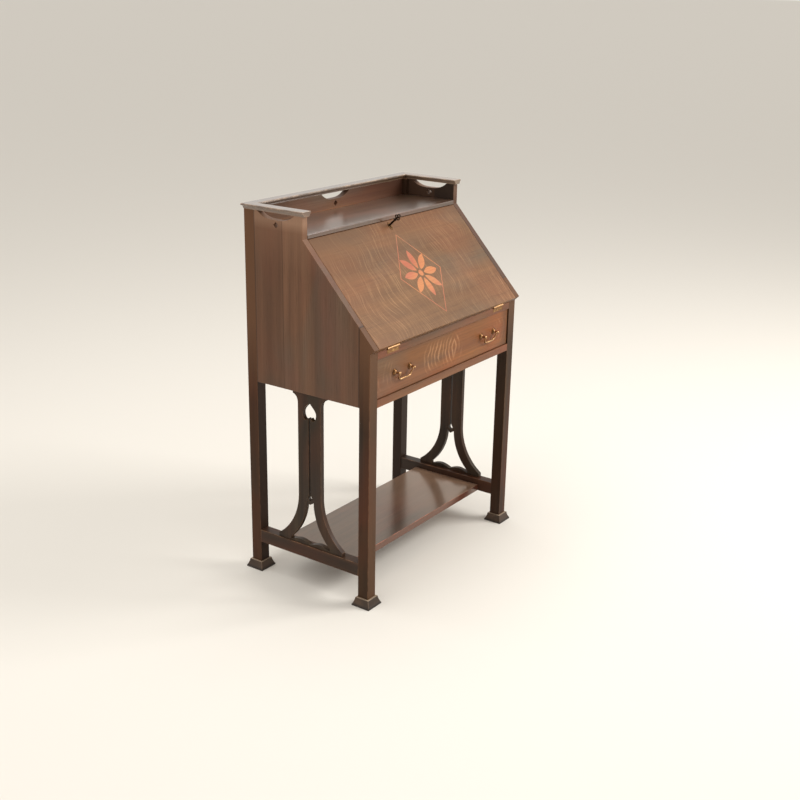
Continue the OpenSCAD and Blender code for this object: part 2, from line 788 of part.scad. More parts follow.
small_y = nest_y + 2;
small_half = bay_half - small_gap;
small_length = nest_back - small_y - small_rear_gap;
small_top = bed_z + nest_shelf_z - small_gap;
small_in = small_half - small_board;
small_rebate = small_front / 2;
small_groove = 3;
small_bottom = 3;
small_bottom_z = bed_z + 5;
knob_z = (bed_z + small_top) / 2;

module small_drawer_front() color("#80664c") placed() difference() {
    block([-small_half, small_half], [small_y, small_y + small_front], [bed_z + small_gap, small_top]);
    // rebates for the sides and the groove for the bottom
    both_sides() block([small_in, small_half + 1], [small_y + small_rebate, small_y + small_front + 1],
        [bed_z, small_top + 1]);
    block([-small_in - small_groove, small_in + small_groove],
        [small_y + small_front - small_groove - joint_gap, small_y + small_front + 1],
        around([small_bottom_z, small_bottom_z + small_bottom], joint_gap));
    translate([0, small_y - 1, knob_z]) rotate([-90, 0, 0]) cylinder(h = small_front + 2, d = 4.2);
}

module small_drawer_walls() color("#9c8262") placed() {
    both_sides() difference() {
        block([small_in, small_half], [small_y + small_rebate, small_y + small_length],
            [bed_z + slide_gap, small_top - 1]);
        block([small_in - 1, small_in + small_groove + joint_gap], [small_y, small_y + small_length + 1],
            around([small_bottom_z, small_bottom_z + small_bottom], joint_gap));
    }
    block([-small_in, small_in], [small_y + small_length - small_board, small_y + small_length],
        [small_bottom_z + small_bottom, small_top - 4]);
}

module small_drawer_bottom() color("#9c8262") placed()
    block([-small_in - small_groove, small_in + small_groove],
        [small_y + small_front - small_groove, small_y + small_length],
        [small_bottom_z, small_bottom_z + small_bottom]);

module small_drawer_knob() color("#8a6a35") placed() translate([0, small_y, knob_z]) rotate([90, 0, 0]) {
    rotate_extrude() polygon([[0, 0], [4, 0], [4, 1.2], [2.4, 2], [2.2, 5], [5.2, 7.5], [5.5, 9.5], [4.4, 11],
        [2, 11.8], [0, 12]]);
    translate([0, 0, -small_front - 3]) cylinder(h = small_front + 3.5, d = 4);
    translate([0, 0, -small_front - 3]) cylinder(h = 3, d = 9);
}

// Long drawer, with half-blind dovetails at the front

box_out = guide_in - guide_gap;
box_in = box_out - drawer_side_thick;
side_low = drawer_low + slide_gap;
side_high = drawer_top - 3;
tail_depth = 13;
tail_root = 12;
tail_tip = 17;
tail_pitch = (side_high - side_low) / tail_count;
bottom_z = side_low + 8;
bottom_groove = 5;
drawer_length = back_y - drawer_rear_gap;
drawer_back_y = drawer_length - drawer_back_thick - 8;
shank = 4;

// Tails seen from the side: narrow at the root, wide at the tip.
module tails(extra) {
    for (i = [0:tail_count - 1])
        translate([face_back, side_low + tail_pitch * (i + 0.5)])
            polygon([[1, -tail_root / 2 - extra], [0, -tail_root / 2 - extra],
                [-tail_depth - extra, -tail_tip / 2 - extra], [-tail_depth - extra, tail_tip / 2 + extra],
                [0, tail_root / 2 + extra], [1, tail_root / 2 + extra]]);
}

module drawer_front() color("#91694b") placed() difference() {
    block([-box_out, box_out], [drawer_recess, face_back], [drawer_low + drawer_gap, drawer_top - drawer_gap]);
    both_sides() across(box_in - joint_gap, drawer_side_thick + 1) tails(joint_gap);
    block([-box_in - bottom_groove, box_in + bottom_groove],
        [face_back - bottom_groove - 1 - joint_gap, face_back + 1],
        [bottom_z - joint_gap, bottom_z + drawer_bottom_thick + joint_gap]);
    post_places() translate([0, 0, -drawer_front_thick - 1])
        cylinder(h = drawer_front_thick + 2, d = shank + 2 * slide_gap);
}

module drawer_side() {
    difference() {
        union() {
            block([box_in, box_out], [face_back, drawer_length], [side_low, side_high]);
            across(box_in, drawer_side_thick) tails(0);
        }
        block([box_in - 1, box_in + bottom_groove + joint_gap], [-1, drawer_length + 1],
            [bottom_z - joint_gap, bottom_z + drawer_bottom_thick + joint_gap]);
        block([box_in - 1, box_in + housing + joint_gap],
            [drawer_back_y - joint_gap, drawer_back_y + drawer_back_thick + joint_gap],
            [bottom_z + drawer_bottom_thick - 1, side_high + 1]);
    }
}

module drawer_sides() color("#a08460") placed() both_sides() drawer_side();

module drawer_back() color("#a08460") placed()
    block([-box_in - housing, box_in + housing], [drawer_back_y, drawer_back_y + drawer_back_thick],
        [bottom_z + drawer_bottom_thick + joint_gap, side_high - 6]);

module drawer_bottom() color("#a08460") placed()
    block([-box_in - bottom_groove, box_in + bottom_groove],
        [face_back - bottom_groove - 1, drawer_back_y + drawer_back_thick],
        [bottom_z, bottom_z + drawer_bottom_thick]);

// Pulls: stepped rosettes, posts with ball ends, and a bail that hangs between each pair of balls

pull_z = drawer_low + pull_rise;
pull_x = leg_in - pull_inset;
ball_mid = pull_reach - ball_width / 2;
bail_pin = 2.4;
bail_gap = 0.3;
bail_half = post_spread / 2 - ball_width / 2 - bail_wire / 2 - bail_gap;

// Children placed at every post, with z pointing out of the drawer's front.
module post_places() {
    for (x = [-pull_x, pull_x])
        for (side = [-post_spread / 2, post_spread / 2])
            translate([x + side, drawer_recess, pull_z]) rotate([90, 0, 0]) children();
}

module post() {
    r = rosette_width / 2;
    neck = neck_width / 2;
    difference() {
        union() {
            rotate_extrude() polygon([[0, 0], [r, 0], [r, 1], [r - 0.8, 1.8], [r - 2, 2.2], [r - 2.6, 3.2],
                [neck + 1.2, 4.6], [neck, 6], [neck, ball_mid], [0, ball_mid]]);
            translate([0, 0, ball_mid]) sphere(d = ball_width);
        }
        translate([-rosette_width, 0, ball_mid]) rotate([0, 90, 0])
            cylinder(h = 2 * rosette_width, d = bail_pin + 2 * bail_gap);
    }
    translate([0, 0, -drawer_front_thick - 4]) cylinder(h = drawer_front_thick + 5, d = shank);
    translate([-4, -4, -drawer_front_thick - 3]) cube([8, 8, 3]);
}

module pull_posts() color("#7d5b34") placed() post_places() post();

module bail_side() {
    translate([bail_half, 0, bail_bend - bail_drop]) cylinder(h = bail_drop - bail_bend, d = bail_wire);
    translate([bail_half - bail_bend, 0, bail_bend - bail_drop]) rotate([90, 0, 0]) rotate([0, 0, -90])
        rotate_extrude(angle = 90) translate([bail_bend, 0]) circle(d = bail_wire);
    translate([bail_half, 0, 0]) {
        sphere(d = bail_wire + 0.6);
        rotate([0, 90, 0]) cylinder(h = bail_wire / 2 + bail_gap + ball_width - 1, d = bail_pin);
    }
}

module bail(x) {
    translate([x, drawer_recess - ball_mid, pull_z]) {
        both_sides() bail_side();
        translate([-bail_half + bail_bend, 0, -bail_drop]) rotate([0, 90, 0])
            cylinder(h = 2 * (bail_half - bail_bend), d = bail_wire);
    }
}

module bail_left() color("#6e4e2c") placed() bail(-pull_x);
module bail_right() color("#6e4e2c") placed() bail(pull_x);

// Lid

inlay_band = 3;
petal_length = 58;
petal_radius = 44;
petal_offset = 33;

module lozenge(long, wide) {
    polygon([[0, long], [wide, 0], [0, -long], [-wide, 0]]);
}

module petal(grow) {
    intersection() {
        translate([petal_offset, petal_length / 2 + 14]) circle(r = petal_radius + grow);
        translate([-petal_offset, petal_length / 2 + 14]) circle(r = petal_radius + grow);
    }
}

module inlay_outline(grow) {
    translate([0, inlay_u]) {
        difference() {
            lozenge(lozenge_half_length + grow, lozenge_half_width + grow);
            lozenge(lozenge_half_length - inlay_band - grow, lozenge_half_width - inlay_band - grow);
        }
        for (a = [0:45:315])
            rotate(a) petal(grow);
        circle(r = 9 + grow);
    }
}

module lid_panel() color("#a0785f") placed() difference() {
    on_lid() difference() {
        block([-panel_in + lid_gap, panel_in - lid_gap], [lid_low, lid_high], [0, lid_thick]);
        translate([0, 0, lid_thick - inlay_thick - 0.02]) linear_extrude(inlay_thick + 1) inlay_outline(0.05);
        block(around([-lock_half, lock_half], joint_gap), [lid_high - lock_length - joint_gap, lid_high + 1],
            [-1, lock_depth + joint_gap]);
        translate([0, key_u, lock_depth - 1]) keyhole(lid_thick);
        both_sides() lid_leaf_space();
    }
    both_sides() hinge_gain();
    lid_leaf_screws() screw_hole();
    bracket_screws() screw_hole();
}

module lid_inlay() color("#d28264") placed() on_lid()
    translate([0, 0, lid_thick - inlay_thick]) linear_extrude(inlay_thick) inlay_outline(0);

// Butt hinges: the knuckles stand in front of the rail, at the lid's inner lower corner

leaf_reach = 13;
leaf_gap = 0.1;
leaf_screw = 8.2;
hinge_x = panel_in - hinge_inset;
knuckle_gap = 0.3;
knuckle_long = (hinge_length - 2 * knuckle_gap) / 3;
hinge_screw_step = 17;

module along_x(x0, long, d) {
    translate([x0, pin_y, pin_z]) rotate([0, 90, 0]) cylinder(h = long, d = d);
}

module hinge_gain() {
    along_x(hinge_x - hinge_length / 2 - 0.2, hinge_length + 0.4, knuckle + 0.4);
}

module rail_leaf_space() {
    block(around(about(hinge_x, hinge_length), leaf_gap), [-1, leaf_thick + leaf_gap / 2],
        [bed_z - leaf_reach - leaf_gap, bed_z + 1]);
}

module lid_leaf_space() {
    block(around(about(hinge_x, hinge_length), leaf_gap), [lid_low - 1, lid_low + leaf_thick + leaf_gap / 2],
        [-1, leaf_reach + leaf_gap]);
}

module rail_leaf_screws() {
    for (x = [-hinge_x, hinge_x])
        for (step = [-hinge_screw_step, 0, hinge_screw_step])
            translate([x + step, 0, bed_z - leaf_screw]) rotate([90, 0, 0]) children();
}

module lid_leaf_screws() {
    for (x = [-hinge_x, hinge_x])
        for (step = [-hinge_screw_step, 0, hinge_screw_step])
            on_lid() translate([x + step, lid_low, leaf_screw]) rotate([90, 0, 0]) children();
}

module rail_leaf() {
    clear = knuckle / 2 + 0.25;
    block(about(hinge_x, hinge_length), [0, leaf_thick], [bed_z - leaf_reach, bed_z - clear]);
    for (x = [hinge_x - hinge_length / 2, hinge_x + hinge_length / 2 - knuckle_long]) {
        block([x, x + knuckle_long], [0, leaf_thick], [bed_z - clear - 1, bed_z]);
        along_x(x, knuckle_long, knuckle);
    }
}

module hinge_rail_leaves() color("#8a6a3c") placed() difference() {
    both_sides() rail_leaf();
    both_sides() along_x(hinge_x - hinge_length, 2 * hinge_length, hinge_pin + 0.1);
    rail_leaf_screws() screw_hole();
}

module lid_leaf() {
    clear = knuckle / 2 + 0.25;
    x = hinge_x - knuckle_long / 2;
    on_lid() {
        block(about(hinge_x, hinge_length), [lid_low, lid_low + leaf_thick], [clear, leaf_reach]);
        block([x, x + knuckle_long], [lid_low, lid_low + leaf_thick], [0, clear + 1]);
    }
    along_x(x, knuckle_long, knuckle);
}

module hinge_lid_leaves() color("#8a6a3c") placed() difference() {
    both_sides() lid_leaf();
    both_sides() along_x(hinge_x - hinge_length, 2 * hinge_length, hinge_pin + 0.1);
    lid_leaf_screws() screw_hole();
}

module hinge_pins() color("#7a5c34") placed() both_sides()
    along_x(hinge_x - hinge_length / 2, hinge_length, hinge_pin);

// Lock in the lid's inner face, with a bolt that shoots up behind the strike plate

key_u = lid_high - keyhole_drop;
lock_wall = 1.5;
key_bit = 9;
key_bit_thick = 3;
barrel_pin = 2;

module keyhole(high) {
    cylinder(h = high, d = key_stem + 1);
    translate([-key_bit_thick / 2 - 0.3, -key_bit - 0.6, 0]) cube([key_bit_thick + 0.6, key_bit, high]);
}

// The bolt's clear way through a wall, from u0 to u1.
module bolt_space(u0, u1) {
    block([-bolt_half - slide_gap, bolt_half + slide_gap], [u0, u1], [lock_wall, lock_depth - lock_wall]);
}

module lock_case() color("#86683a") placed() on_lid() {
    difference() {
        block([-lock_half, lock_half], [lid_high - lock_length, lid_high], [0, lock_depth]);
        block([-lock_half + lock_wall, lock_half - lock_wall],
            [lid_high - lock_length + lock_wall, lid_high - lock_wall], [lock_wall, lock_depth - lock_wall]);
        bolt_space(lid_high - lock_wall - 1, lid_high + 1);
        translate([0, key_u, lock_depth - lock_wall - 0.5]) keyhole(lock_wall + 1);
    }
    translate([0, key_u, lock_wall - 0.5]) cylinder(h = 6, d = barrel_pin);
}

module lock_bolt() color("#8f7f66") placed() on_lid() difference() {
    block([-bolt_half, bolt_half], [lid_high - lock_length + lock_wall + 1, lid_high - 1],
        [lock_wall + slide_gap, lock_depth - lock_wall - slide_gap]);
    // window for the key's bit, open while it turns
    block([-bolt_half + 6.5, bolt_half - 1.3], [key_u - key_bit - 8.5, key_u + 5],
        [0, lock_depth]);
}

module key() color("#3c2e22") placed() on_lid() translate([0, key_u, 0]) {
    difference() {
        translate([0, 0, lock_wall + 0.5])
            cylinder(h = lid_thick + key_reach - bow_lobe - 6 - lock_wall, d = key_stem);
        cylinder(h = lid_thick - 2, d = barrel_pin + 2 * slide_gap);
    }
    translate([-key_bit_thick / 2, -key_bit, lock_wall + 1])
        cube([key_bit_thick, key_bit - barrel_pin / 2 - 1, lock_depth - 2 * lock_wall - 2]);
    translate([0, 0, lid_thick + key_reach - bow_lobe - 9]) cylinder(h = 2.5, d = key_stem + 2.5);
    key_bow();
}

// A bow of three pierced lobes, flat in the plane of the stem and the bit.
module key_bow() {
    translate([1.6, 0, lid_thick + key_reach]) rotate([0, -90, 0]) linear_extrude(3.2) difference() {
        union() {
            for (a = [0, 120, 240])
                rotate(a) translate([bow_lobe, 0]) circle(r = bow_lobe);
            translate([-bow_lobe - 6, -2]) square([bow_lobe + 6, 4]);
        }
        for (a = [0, 120, 240])
            rotate(a) translate([bow_lobe, 0]) circle(r = bow_lobe - 2.2);
    }
}

module escutcheon() color("#8a6a3c") placed() on_lid() translate([0, key_u, lid_thick]) difference() {
    linear_extrude(0.8) intersection() {
        translate([7, -3]) circle(r = 14);
        translate([-7, -3]) circle(r = 14);
    }
    translate([0, 0, -1]) keyhole(3);
}

strike_length = 40;
strike_thick = 1.5;

module strike_plate_outline(extra) {
    block(around(about(0, strike_length), extra),
        around([lid_high + top_gap, lid_high + top_gap + strike_thick], extra),
        around([0.8, lock_depth + 1], extra));
}

module strike_screws() {
    for (x = about(0, strike_length - 7.6))
        on_lid() translate([x, lid_high + top_gap, 5.9]) rotate([90, 0, 0]) children();
}

module strike_plate() color("#8a6a3c") placed() difference() {
    on_lid() difference() {
        strike_plate_outline(0);
        bolt_space(lid_high, lid_high + 5);
    }
    strike_screws() screw_hole(strike_screw);
}

// Lid stays. Each arm turns on the lid, and its stud runs in a slot whose curve is the stud's own path.

stay_plane = leg_in - 4.5;
arm_thick = 2.5;
plate_plane = stay_plane + 4;
plate_thick = 2;
pivot_drop = 9;
slot_steps = 24;
slot_rim = 6;
pad = 7.5;
pad_out = 15;
stay_boss = 9;
pivot_pin = 4;

// Place in the side view of the arm's pivot and of its stud, with the lid opened by the share f.
function turned(a, p) = [p[0] * cos(a) - p[1] * sin(a), p[0] * sin(a) + p[1] * cos(a)];
function pivot_at(f) = [pin_y, pin_z] + turned(slope + lid_turn * f, [stay_u, -pivot_drop]);
function stud_at(f) = pivot_at(f) + turned(stay_swing * f - stay_dip, [stay_arm, 0]);
function heading(f) = let (d = stud_at(f + 0.001) - stud_at(f - 0.001)) d / norm(d);
function beside(f, gap) = let (h = heading(f)) stud_at(f) + gap * [-h[1], h[0]];

function round_end(f, from, gap) = [for (i = [1:7]) stud_at(f) + gap * turned(from - 22.5 * i, heading(f))];

module stay_band(gap) {
    polygon(concat([for (i = [0:slot_steps]) beside(i / slot_steps, gap)], round_end(1, 90, gap),
        [for (i = [slot_steps:-1:0]) beside(i / slot_steps, -gap)], round_end(0, -90, gap)));
}

function plate_pads() = [stud_at(0) + [pad_out, 1], stud_at(1) + heading(1) * pad_out];

module stay_plate_screws() {
    for (p = plate_pads())
        translate([plate_plane, p[0], p[1]]) rotate([0, -90, 0]) children();
}

module stay_plate() {
    slot = stud / 2 + slide_gap;
    difference() {
        union() {
            across(plate_plane, plate_thick) {
                stay_band(slot + slot_rim);
                for (p = plate_pads())
                    translate(p) circle(r = pad);
                translate(stud_at(0) - [0, pad - 2.5]) square([pad_out, 2 * pad - 4]);
                translate(stud_at(1)) rotate(atan2(heading(1)[1], heading(1)[0]))
                    translate([0, -pad + 2]) square([pad_out, 2 * pad - 4]);
            }
            for (p = plate_pads())
                translate([plate_plane + plate_thick, p[0], p[1]]) rotate([0, 90, 0])
                    cylinder(h = panel_in - plate_plane - plate_thick, d = stay_boss);
        }
        across(plate_plane - 1, plate_thick + 2) stay_band(slot);
        stay_plate_screws() screw_hole(plate_screw);
    }
}

module stay_plates() color("#8a6a3c") placed() both_sides() stay_plate();

module stay_arm_shape() {
    p = pivot_at(0);
    s = stud_at(0);
    across(stay_plane, arm_thick) difference() {
        union() {
            translate(p) circle(d = arm_width);
            translate(s) circle(d = arm_width);
            translate(p) rotate(-stay_dip) translate([0, -arm_width / 2 + 1])
                square([stay_arm, arm_width - 2]);
        }
        translate(p) circle(d = pivot_pin + 0.4);
    }
    translate([stay_plane + 1, s[0], s[1]]) rotate([0, 90, 0]) {
        cylinder(h = arm_thick + plate_thick + 2, d = stud);
        cylinder(h = arm_thick, d = stud + 3);
        translate([0, 0, 3 + plate_thick + slide_gap]) cylinder(h = 1.8, d = stud + 4);
    }
}

module stay_arm_right() color("#8f7040") placed() stay_arm_shape();
module stay_arm_left() color("#8f7040") placed() mirror([1, 0, 0]) stay_arm_shape();

bracket_length = 36;
bracket_thick = 1.8;

module bracket_screws() {
    for (side = [-1, 1])
        for (u = about(stay_u, bracket_length - 12))
            on_lid() translate([side * (stay_plane - 9), u, -bracket_thick]) rotate([180, 0, 0]) children();
}

// An angle plate on the lid's inner face, with an ear that holds the arm's pivot pin.
module stay_bracket() {
    ear = stay_plane - 0.4 - 2;
    p = pivot_at(0);
    on_lid() {
        block([stay_plane - 15, ear + 2], about(stay_u, bracket_length), [-bracket_thick, 0]);
        translate([ear, stay_u, 0]) rotate([90, 0, 90]) linear_extrude(2) difference() {
            union() {
                translate([0, -pivot_drop]) circle(r = 5);
                polygon([[-12, -0.5], [12, -0.5], [5, -pivot_drop], [-5, -pivot_drop]]);
            }
            translate([0, -pivot_drop]) circle(d = 2);
        }
    }
    translate([ear, p[0], p[1]]) rotate([0, 90, 0]) cylinder(h = arm_thick + 3, d = pivot_pin);
    translate([stay_plane + arm_thick + slide_gap, p[0], p[1]]) rotate([0, 90, 0])
        cylinder(h = 1.2, d = pivot_pin + 3);
}

module stay_brackets() color("#8a6a3c") placed() difference() {
    both_sides() stay_bracket();
    bracket_screws() screw_hole();
}

// Screws, grouped by the body they hold to

module case_screws() color("#9a8458") placed() {
    rail_leaf_screws() screw();
    strike_screws() screw(strike_screw);
    both_sides() stay_plate_screws() screw(plate_screw);
}

module lid_screws() color("#9a8458") placed() {
    lid_leaf_screws() screw();
    bracket_screws() screw();
}

leg_front_left();
leg_front_right();
leg_back_left();
leg_back_right();
foot_front_left();
foot_front_right();
foot_back_left();
foot_back_right();
side_panel_left();
side_panel_right();
splat_left();
splat_right();
stretcher_left();
stretcher_right();
shelf();
upper_rail();
lower_rail();
back_rail();
back_panel();
writing_bed();
top_board();
top_rail();
gallery_back();
cap_left();
cap_right();
cap_back();
drawer_runners();
kickers();
drawer_stops();
nest_top();
nest_shelf();
nest_uprights();
strike_plate();
hinge_rail_leaves();
stay_plates();
case_screws();
drawer_front();
drawer_sides();
drawer_back();
drawer_bottom();
pull_posts();
bail_left();
bail_right();
small_drawer_front();
small_drawer_walls();
small_drawer_bottom();
small_drawer_knob();
lid_panel();
lid_inlay();
hinge_lid_leaves();
hinge_pins();
lock_case();
escutcheon();
stay_brackets();
lid_screws();
lock_bolt();
key();
stay_arm_left();
stay_arm_right();
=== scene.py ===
import math

import bpy
from mathutils import Matrix, Vector


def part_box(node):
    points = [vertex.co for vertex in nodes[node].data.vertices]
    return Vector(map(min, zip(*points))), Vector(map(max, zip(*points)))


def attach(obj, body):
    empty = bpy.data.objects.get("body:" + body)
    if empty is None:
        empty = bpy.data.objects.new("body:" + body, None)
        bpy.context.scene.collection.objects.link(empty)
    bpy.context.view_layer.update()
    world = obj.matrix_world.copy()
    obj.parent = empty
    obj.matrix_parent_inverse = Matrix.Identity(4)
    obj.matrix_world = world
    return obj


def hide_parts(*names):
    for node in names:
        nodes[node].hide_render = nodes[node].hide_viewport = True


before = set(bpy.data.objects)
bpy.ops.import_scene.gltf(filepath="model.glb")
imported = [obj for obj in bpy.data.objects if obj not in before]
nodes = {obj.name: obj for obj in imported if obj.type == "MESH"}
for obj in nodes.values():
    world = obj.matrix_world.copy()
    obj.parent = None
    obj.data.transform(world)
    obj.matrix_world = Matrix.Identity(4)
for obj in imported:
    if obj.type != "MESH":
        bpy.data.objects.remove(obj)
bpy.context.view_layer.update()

# The camera stands to the left of the desk's front, a little above its top, where the
# photograph was taken. Its turn comes from the azimuth, elevation and roll fitted to the edges.
azimuth, elevation, roll = (math.radians(angle) for angle in (-54.983, 19.258, 1.058))
camera_place = (-2.51262, -1.80558, 1.51458)
camera_lens = 53.02
back = Vector((math.sin(azimuth) * math.cos(elevation),
               -math.cos(azimuth) * math.cos(elevation),
               math.sin(elevation)))
right = (-back).cross(Vector((0, 0, 1))).normalized()
up = right.cross(-back)
level_right = right * math.cos(roll) + up * math.sin(roll)
level_up = up * math.cos(roll) - right * math.sin(roll)
turn = Matrix((level_right, level_up, back)).transposed().to_4x4()
bpy.ops.object.camera_add()
camera = bpy.context.object
camera.data.lens = camera_lens
camera.data.sensor_width = 36
camera.data.clip_end = 900
camera.matrix_world = Matrix.Translation(camera_place) @ turn
bpy.context.scene.camera = camera

# A pale floor runs out of view on all sides. The main soft light stands high in front and to the
# right, so the shadows fall to the left and back. One hangs over the desk, one fills the left side.
bpy.ops.object.select_all(action="DESELECT")
bpy.ops.mesh.primitive_plane_add(size=800, location=(0, 0, 0))
floor = bpy.context.object
floor.name = "floor"
floor_paint = bpy.data.materials.new("floor_paint")
floor_paint.use_nodes = True
floor_shader = floor_paint.node_tree.nodes["Principled BSDF"]
floor_shader.inputs["Base Color"].default_value = (0.72, 0.69, 0.64, 1)
floor_shader.inputs["Roughness"].default_value = 0.8
floor_shader.inputs["Specular IOR Level"].default_value = 0.15
floor.data.materials.append(floor_paint)

desk_middle = Vector((0, 0, 0.5))
for name, place, size, power, shade in (
    ("front_light", (2.0, -2.6, 2.9), 1.6, 112, (1.0, 0.98, 0.95)),
    ("top_light", (-0.3, 0.4, 3.2), 2.4, 32, (1.0, 0.99, 0.97)),
    ("left_light", (-2.6, 0.2, 3.0), 1.6, 13, (1.0, 0.97, 0.93)),
):
    bpy.ops.object.light_add(type="AREA", location=place)
    light = bpy.context.object
    light.name = name
    light.data.size = size
    light.data.energy = power
    light.data.color = shade
    light.rotation_euler = (desk_middle - Vector(place)).to_track_quat("-Z", "Y").to_euler()
world = bpy.context.scene.world or bpy.data.worlds.new("world")
bpy.context.scene.world = world
world.use_nodes = True
world.node_tree.nodes["Background"].inputs["Color"].default_value = (1.0, 0.968, 0.918, 1)
world.node_tree.nodes["Background"].inputs["Strength"].default_value = 0.86
bpy.context.scene.view_settings.view_transform = "Standard"

# Four square legs of dark stained, quarter-sawn oak, mortised for the rails and stretchers. Each
# stands on a flared pad of the same wood, held by a dowel. A leg's grain runs upright, a foot's
# lies level, and the upward faces of a foot are paler. Painted light and shade lie on the legs.
same_point = 0.00002


# A colour from 0 to 255, as the eye sees it, turned into the linear values a shader takes.
def tone(r, g, b):
    return tuple(((v / 255 + 0.055) / 1.055) ** 2.4 if v > 10 else v / 3294.6
                 for v in (r, g, b)) + (1,)


# One node of a finish, with the values or the outputs that its sockets take.
def add(tree, kind, sources=(), **values):
    new = tree.nodes.new(kind)
    for key, value in values.items():
        setattr(new, key, value)
    for socket, source in sources:
        if isinstance(source, (int, float, tuple)):
            new.inputs[socket].default_value = source
        else:
            tree.links.new(source, new.inputs[socket])
    return new


def reckon(tree, operation, *sources):
    return add(tree, "ShaderNodeMath", enumerate(sources), operation=operation).outputs[0]


def times(tree, a, b):
    return reckon(tree, "MULTIPLY", a, b)


def ramp(tree, value, low, high, start=0.0, end=1.0):
    return add(tree, "ShaderNodeMapRange", [("Value", value), ("From Min", low), ("From Max", high),
                                            ("To Min", start), ("To Max", end)]).outputs[0]


def blend(tree, factor, under, over):
    return add(tree, "ShaderNodeMix", [(0, factor), (6, under), (7, over)],
               data_type="RGBA").outputs[2]


def split(tree, vector):
    return add(tree, "ShaderNodeSeparateXYZ", [(0, vector)]).outputs


